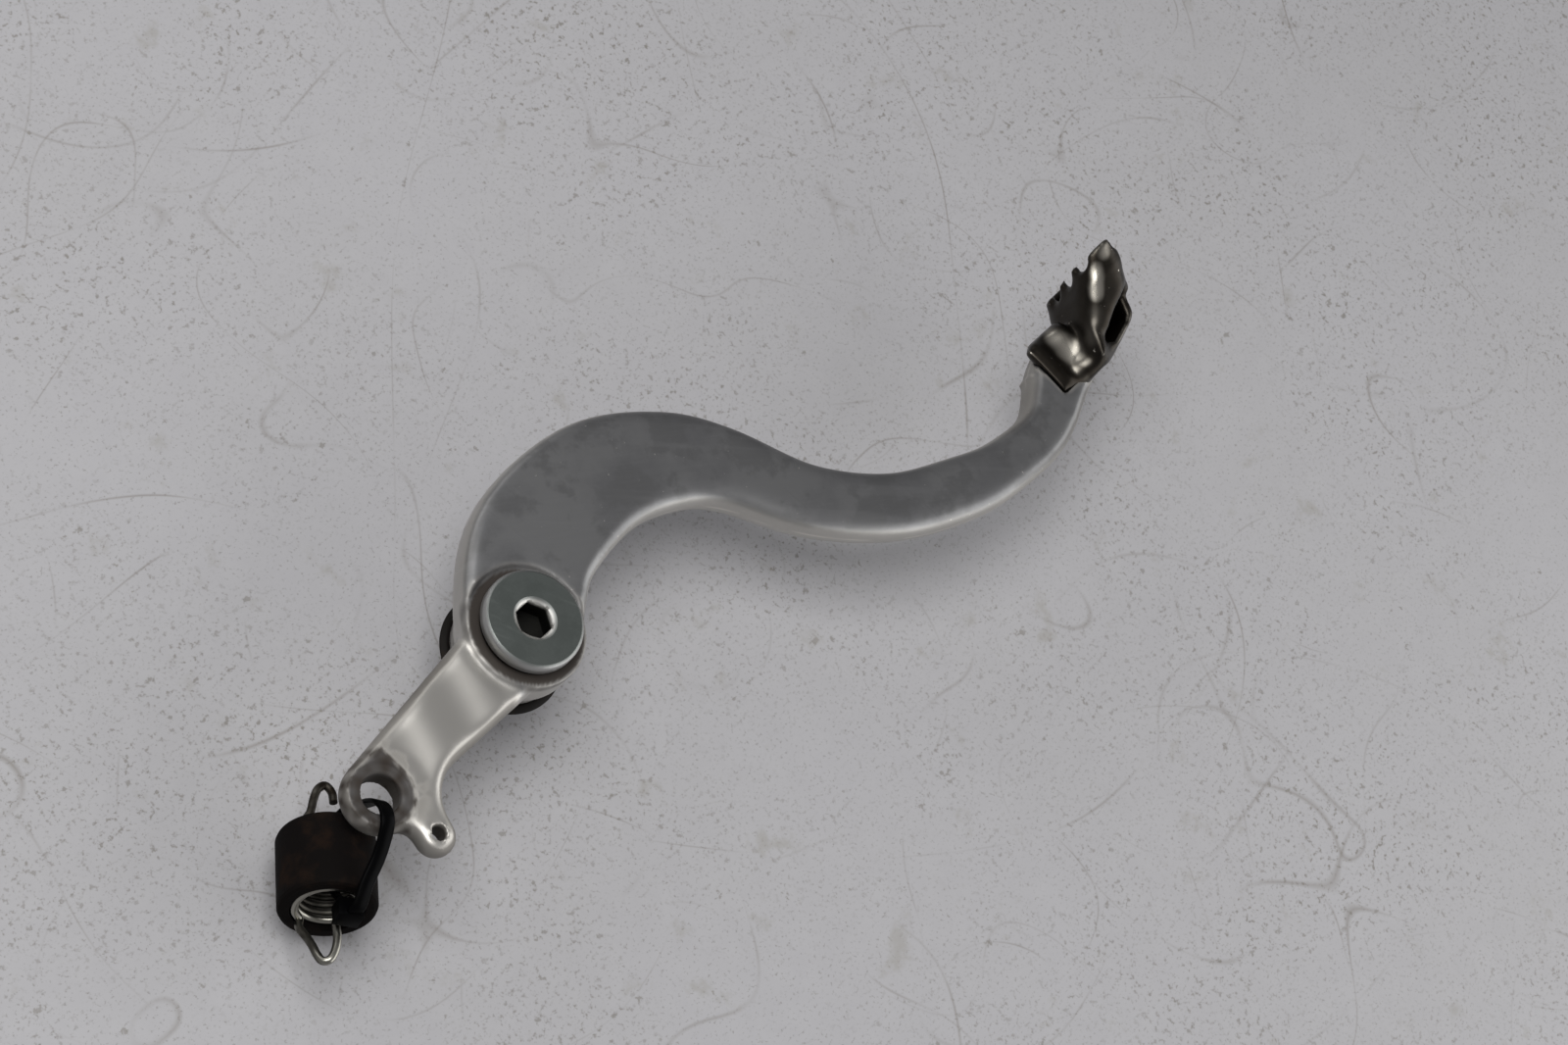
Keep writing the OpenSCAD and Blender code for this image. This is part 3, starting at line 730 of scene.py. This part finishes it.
arm_skin.data.materials.clear()
arm_skin.data.materials.append(forged)
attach(arm_skin, "pedal")
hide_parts("pedal_arm")
print("rubbed_and_highlit", round(float(rub_and_highlight.mean()), 2), "dirty_and_shaded", round(float(grime_and_shade.mean()), 2))


# %% [markdown]
# ## The step
# The step is a steel casting: its walls, teeth and socket have no sharp edge anywhere. A finer skin is
# relaxed all over, most in the hollow of its saddle, then let out a little, because relaxing draws thin
# walls in. Boots have polished its nose, the hollow in front of the arm and the rims of its teeth, and
# left the rest brown-black. The same places carry painted highlights where the light glints on them.

# %% The step's casting
STEP_SKIN_SIZE = 0.4 * MM
TEETH_Y = -28.5
DISH_START = 169.6
DISH = 0.05
STEP_RELAXED = 12
WALLS_RELAXED = 30
HOLLOW_RELAXED = 70
CORNER_MOVES = [  # place, reach and move of each corner that the casting rounds off
    ((198.0, -35.0, 27.7), 6.0, (-0.7, 0.8, -0.55)), ((200.4, -29.3, 28.8), 5.0, (-1.9, 0.5, -0.9)),
]
STEP_FILLETS = [((172.6, -45.4, 14.2), 3.0), ((174.6, -45.0, 16.5), 3.2), ((198.3, -37.0, 22.6), 1.7)]
step_skin = skin("toe_step", "toe_step_skin", STEP_SKIN_SIZE, STEP_FILLETS)
step = Skin(step_skin)
x, y, z = step.points.T
outboard = fade(z, 8, 9.5) * fade(x, 164, 165.5)
below_teeth = 1 - fade(y, TEETH_Y - 3, TEETH_Y)
dish_x = x + 0.24 * (y + 33.3) - DISH_START
on_flange = fade(z, 14.6, 16.0) * (1 - fade(x, 178, 181)) * (1 - fade(y, -33.5, -31.5))
on_flange *= fade(x, 165, 167.5)
step.points[:, 2] += DISH * np.clip(dish_x, 0, 8) ** 2 * on_flange
for corner, reach, move in CORNER_MOVES:
    near_corner = 1 - fade(np.linalg.norm(step.points - np.array(corner), axis=1), 1.0, reach)
    step.points += near_corner[:, None] * np.array(move)
step.relax(outboard, STEP_RELAXED)
step.relax(outboard * below_teeth, WALLS_RELAXED)
hollow = fade(z, 14.6, 16.0) * (1 - fade(x, 180, 184)) * fade(x, 165, 167.5) * (1 - fade(y, -33, -31))
step.relax(hollow, HOLLOW_RELAXED)
print("step", len(step.points), "points")

# %% Its skirt and its walls, let out again
SKIRT_LIFT = 0.8
STEP_GROWTH = 0.42
x, y, z = step.points.T
step.points[:, 2] += SKIRT_LIFT * fade(z, 13.5, 15.5) * (1 - fade(x, 167, 172))
growth = STEP_GROWTH * fade(x, 166, 169) * (0.35 + 0.65 * below_teeth)
step.points += step.normals() * growth[:, None]
step.save()
step = without_slivers(step_skin)
print("step without slivers", len(step.points), "points")

# %% Where boots have polished it, and where highlights are painted
STEP_LIFT_EVENED = 8
# Each line is polish plus a painted highlight where the light glints: the nose, the ridge below it, the top
# tip and the saddle's two bands.
POLISH_AND_HIGHLIGHTS = [  # from, to, reach and strength
    ((187.8, -29.4, 30.8), (184.9, -33.4, 28.1), 2.3, 0.85),
    ((182.0, -37.0, 26.0), (178.6, -41.2, 22.4), 2.6, 0.10),
    ((192.3, -26.0, 33.9), (191.5, -27.0, 33.4), 2.2, 0.5),
    ((174.4, -34.5, 16.8), (175.0, -42.4, 17.2), 3.6, 0.95),
    ((172.6, -44.2, 16.4), (173.9, -45.6, 16.4), 2.4, 0.9),
]


def from_line(points, start, end):
    """The distance of each point from a line between two places."""
    start, end = np.array(start), np.array(end)
    along = np.clip(((points - start) @ (end - start)) / ((end - start) @ (end - start)), 0, 1)
    return np.linalg.norm(points - start - along[:, None] * (end - start), axis=1)


x, y, z = step.points.T
lift = step.sticking_out(STEP_LIFT_EVENED)
clouds = cloudy(step.points, 0.3)
rub_and_highlight = 0.22 * fade(lift, 0.05, 0.14) * fade(clouds + 0.5, 0.2, 0.8)
for start, end, reach, strength in POLISH_AND_HIGHLIGHTS:
    away = from_line(step.points, start, end) / reach
    rub_and_highlight = np.maximum(rub_and_highlight, strength * (1 - fade(away + 0.3 * clouds, 0.0, 1.1)))
step.store("rub_and_highlight", rub_and_highlight)
step.store("grime_and_shade", 0.7 * fade(-lift, 0.0, 0.06) * (1 - rub_and_highlight))
step_skin.data.materials.clear()
step_skin.data.materials.append(cast_steel)
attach(step_skin, "pedal")
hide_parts("toe_step")
print("polished_and_highlit", round(float(rub_and_highlight.mean()), 2))


# %% [markdown]
# ## Round wire and screw thread
# A wire is a circle carried along a path, and a screw thread is a ridge carried along a helix, so one
# Geometry Nodes tree makes both. Its inputs are the path, the radius of what is carried and how many
# sides it has: many for a round wire, four for the sharp ridge of a thread.

# %% The tree that carries a section along a path
GEOMETRY = "NodeSocketGeometry"
carry_tree = bpy.data.node_groups.new("carry_section", "GeometryNodeTree")
carry_tree.interface.new_socket("Geometry", in_out="INPUT", socket_type=GEOMETRY)
CARRY_INPUTS = [  # title, kind and first value
    ("Radius", FLOAT, 0.001), ("Sides", "NodeSocketInt", 16), ("Material", "NodeSocketMaterial", None),
]
carry_ids = {}
for title, kind, value in CARRY_INPUTS:
    socket = carry_tree.interface.new_socket(title, in_out="INPUT", socket_type=kind)
    if value is not None:
        socket.default_value = value
    carry_ids[title] = socket.identifier
carry_tree.interface.new_socket("Geometry", in_out="OUTPUT", socket_type=GEOMETRY)
carry_in = carry_tree.nodes.new("NodeGroupInput")
carry_out = carry_tree.nodes.new("NodeGroupOutput")
section = carry_tree.nodes.new("GeometryNodeCurvePrimitiveCircle")
join(carry_tree, carry_in.outputs["Radius"], section.inputs["Radius"])
join(carry_tree, carry_in.outputs["Sides"], section.inputs["Resolution"])
carried = carry_tree.nodes.new("GeometryNodeCurveToMesh")
carried.inputs["Fill Caps"].default_value = True
join(carry_tree, carry_in.outputs["Geometry"], carried.inputs["Curve"])
join(carry_tree, section.outputs["Curve"], carried.inputs["Profile Curve"])
real = carry_tree.nodes.new("GeometryNodeRealizeInstances")
join(carry_tree, carried.outputs["Mesh"], real.inputs["Geometry"])
finish_node = carry_tree.nodes.new("GeometryNodeSetMaterial")
join(carry_tree, real.outputs["Geometry"], finish_node.inputs["Geometry"])
join(carry_tree, carry_in.outputs["Material"], finish_node.inputs["Material"])
join(carry_tree, finish_node.outputs["Geometry"], carry_out.inputs["Geometry"])


# %% A path made solid
def carry_along(name, points, radius, sides, finish):
    path = bpy.data.curves.new(name + "_path", "CURVE")
    path.dimensions = "3D"
    spline = path.splines.new("POLY")
    spline.points.add(len(points) - 1)
    for slot, place in zip(spline.points, points):
        slot.co = (*place, 1)
    guide = bpy.data.objects.new(name + "_path", path)
    bpy.context.scene.collection.objects.link(guide)
    maker = guide.modifiers.new("carry", "NODES")
    maker.node_group = carry_tree
    maker[carry_ids["Radius"]] = radius
    maker[carry_ids["Sides"]] = sides
    maker[carry_ids["Material"]] = finish
    view = bpy.context.evaluated_depsgraph_get()
    mesh = bpy.data.meshes.new_from_object(guide.evaluated_get(view))
    bpy.data.objects.remove(guide)
    work = bmesh.new()
    work.from_mesh(mesh)
    bmesh.ops.remove_doubles(work, verts=work.verts, dist=MERGED / 2)
    bmesh.ops.recalc_face_normals(work, faces=work.faces)
    work.to_mesh(mesh)
    work.free()
    made = bpy.data.objects.new(name, mesh)
    bpy.context.scene.collection.objects.link(made)
    return made


def smooth_points(points, steps):
    """A smooth curve through the points, with steps stretches between each two of them."""
    made = []
    last = len(points) - 1
    for i in range(last):
        a, b, c, d = (Vector(points[min(last, max(0, k))]) for k in (i - 1, i, i + 1, i + 2))
        for k in range(steps):
            t = k / steps
            made.append(0.5 * (2 * b + (c - a) * t + (2 * a - 5 * b + 4 * c - d) * t * t
                               + (3 * b - a - 3 * c + d) * t ** 3))
    return made + [Vector(points[-1])]


# %% The return spring
SPRING_AT = Vector((-68.3, -10.2, -3.7))
SPRING_TURN = 221.0
SPRING_LIFT = 13.0
COIL_MIDDLE_R = 7.15
COIL_PITCH = 1.92
COILS = 9
WIRE_R = 0.95
WIRE_SIDES = 14
TURN_STEPS = 28
PATH_STEPS = 4
BACK_HOOK = [
    (-3, 1, 8.2), (-3, 0.7, 10.8), (-3, -0.8, 12.4), (-3, -2.6, 11), (-2.8, -3.6, 8), (-2.6, -4.4, 4.6),
    (-1.4, -6.2, 2),
]
FRONT_HOOK = [
    (5.4, -4.6, 2.4), (4.4, -3.2, 5.4), (3.4, -2.4, 8), (2.6, -1.8, 10.4), (2, -0.8, 12.2), (1.2, 0.7, 12),
    (0.8, 1.8, 9.6), (0.6, 2.2, 6.4), (0.4, 1.8, 3),
]
on_spring = (Matrix.Translation(SPRING_AT) @ Matrix.Rotation(math.radians(SPRING_TURN), 4, "Z")
             @ Matrix.Rotation(math.radians(90 - SPRING_LIFT), 4, "Y"))
half = COILS * COIL_PITCH / 2
coil_points = COILS * TURN_STEPS + 4
coil = []
for k in range(0, coil_points + 1, 2):
    angle = math.radians(-90 + 360 * k / TURN_STEPS)
    height = -half + 2 * half * k / coil_points
    coil.append((COIL_MIDDLE_R * math.cos(angle), COIL_MIDDLE_R * math.sin(angle), height))
back_hook = [(x, y, -half - z) for x, y, z in BACK_HOOK]
front_hook = [(x, y, half + z) for x, y, z in FRONT_HOOK]
wire_points = smooth_points(back_hook + coil + front_hook, PATH_STEPS)
wire_path = [(on_spring @ p) * MM for p in wire_points]
spring_wire = carry_along("spring_wire", wire_path, WIRE_R * MM, WIRE_SIDES, wire_steel)
for face in spring_wire.data.polygons:
    face.use_smooth = len(face.vertices) == 4
wire = Skin(spring_wire)
into_spring = np.array(on_spring.inverted())
across_wire, _, along_wire = (wire.points @ into_spring[:3, :3].T + into_spring[:3, 3]).T
wire_clouds = 1.0 + 0.35 * cloudy(wire.points, 0.5)
back_dirt = 0.95 * fade(-along_wire, half - 1.0, half + 1.0)
inside_dirt = 0.75 * fade(half - along_wire, 1.6, 3.0)
leg_dirt = 0.8 * fade(along_wire, half + 1.5, half + 3.5) * fade(across_wire, 1.4, 2.4)
wire.store("grime_and_shade", np.maximum(np.maximum(back_dirt, inside_dirt), leg_dirt) * wire_clouds)
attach(spring_wire, "pedal")
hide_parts("return_spring")
print("spring wire", len(wire_path), "points,", len(spring_wire.data.polygons), "faces")


# %% [markdown]
# ## The bolt
# The bolt's head and shoulder keep the CAD's shape. Its threaded end is a plain rod there, so the copy's
# rod is drawn in to the root of the thread, and a ridge is wound round it.

# %% The bolt's thread
THREAD_R = 5.0
THREAD_ROOT_R = 4.3
THREAD_L = 14.0
THREAD_PITCH = 1.5
THREAD_START = 0.7
THREAD_ENDS = 1.6
THREAD_SIDES = 4
STEPS_ROUND = 40
BOLT_SHARP = math.radians(28)
FLAT_END = 0.98
bolt = merged_copy("pivot_bolt", "pivot_bolt_turned")
for vert in bolt.data.vertices:
    radius = math.hypot(vert.co.x, vert.co.y) / MM
    if -THREAD_L + 0.5 < vert.co.z / MM < 0.1 and THREAD_ROOT_R < radius < THREAD_R + 0.1:
        vert.co.x *= THREAD_ROOT_R / radius
        vert.co.y *= THREAD_ROOT_R / radius
bolt.data.set_sharp_from_angle(angle=BOLT_SHARP)
for face in bolt.data.polygons:
    face.use_smooth = abs(face.normal.z) < FLAT_END
bolt.data.materials.clear()
bolt.data.materials.append(zinc)
helix = []
turns = (THREAD_L - THREAD_ENDS) / THREAD_PITCH
for k in range(int(turns * STEPS_ROUND) + 1):
    angle = 2 * math.pi * k / STEPS_ROUND
    height = -THREAD_START - THREAD_PITCH * k / STEPS_ROUND
    helix.append(Vector((math.cos(angle) * THREAD_ROOT_R, math.sin(angle) * THREAD_ROOT_R, height)) * MM)
ridge = (THREAD_R - THREAD_ROOT_R) * MM
thread = carry_along("pivot_bolt_thread", helix, ridge, THREAD_SIDES, zinc)
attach(bolt, "pivot")
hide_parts("pivot_bolt")
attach(thread, "pivot")
print("thread", round(turns, 1), "turns")


# %% [markdown]
# ## The inboard seal's lip
# The inboard seal stands a little proud of the boss, with a thin lip that keeps mud out of the bush. A
# lip is the same all the way round, so its section, a few points of radius and height, is turned about
# the pivot.

# %% The dust lip
LIP_SECTION = [(12.4, 0.45), (13.8, 0.2), (14.8, 0.2), (15.0, 0.4), (14.8, 0.65), (13.6, 0.95), (12.4, 1.2)]
LIP_STEPS = 120
lip_points = []
lip_faces = []
for k in range(LIP_STEPS):
    angle = 2 * math.pi * k / LIP_STEPS
    for i, (radius, height) in enumerate(LIP_SECTION):
        lip_points.append(Vector((radius * math.cos(angle), radius * math.sin(angle), height)) * MM)
        here, there = k * len(LIP_SECTION), (k + 1) % LIP_STEPS * len(LIP_SECTION)
        after = (i + 1) % len(LIP_SECTION)
        lip_faces.append((here + i, there + i, there + after, here + after))
lip_mesh = bpy.data.meshes.new("inner_seal_lip")
lip_mesh.from_pydata(lip_points, [], lip_faces)
work = bmesh.new()
work.from_mesh(lip_mesh)
bmesh.ops.recalc_face_normals(work, faces=work.faces)
work.to_mesh(lip_mesh)
work.free()
for face in lip_mesh.polygons:
    face.use_smooth = True
lip_mesh.materials.append(seal_rubber)
dust_lip = bpy.data.objects.new("inner_seal_lip", lip_mesh)
bpy.context.scene.collection.objects.link(dust_lip)
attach(dust_lip, "pedal")
print("dust lip", len(lip_faces), "faces")


# %% [markdown]
# ## The cable tie
# The strap is moulded nylon with soft edges, so a copy of the CAD's strap and head is bevelled and shaded
# as one smooth band.

# %% The strap's soft edges
STRAP_EDGE = 0.25
STRAP_EDGE_STEPS = 2
STRAP_SHARP = math.radians(40)
BEVELLED_FROM = math.radians(50)
strap = merged_copy("cable_tie", "cable_tie_moulded")
soft = strap.modifiers.new("soft", "BEVEL")
soft.width = STRAP_EDGE * MM
soft.segments = STRAP_EDGE_STEPS
soft.limit_method = "ANGLE"
soft.angle_limit = BEVELLED_FROM
settle(strap)
for face in strap.data.polygons:
    face.use_smooth = True
strap.data.set_sharp_from_angle(angle=STRAP_SHARP)
strap.data.materials.clear()
strap.data.materials.append(nylon)
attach(strap, "pedal")
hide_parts("cable_tie")
print("strap", len(strap.data.polygons), "faces")
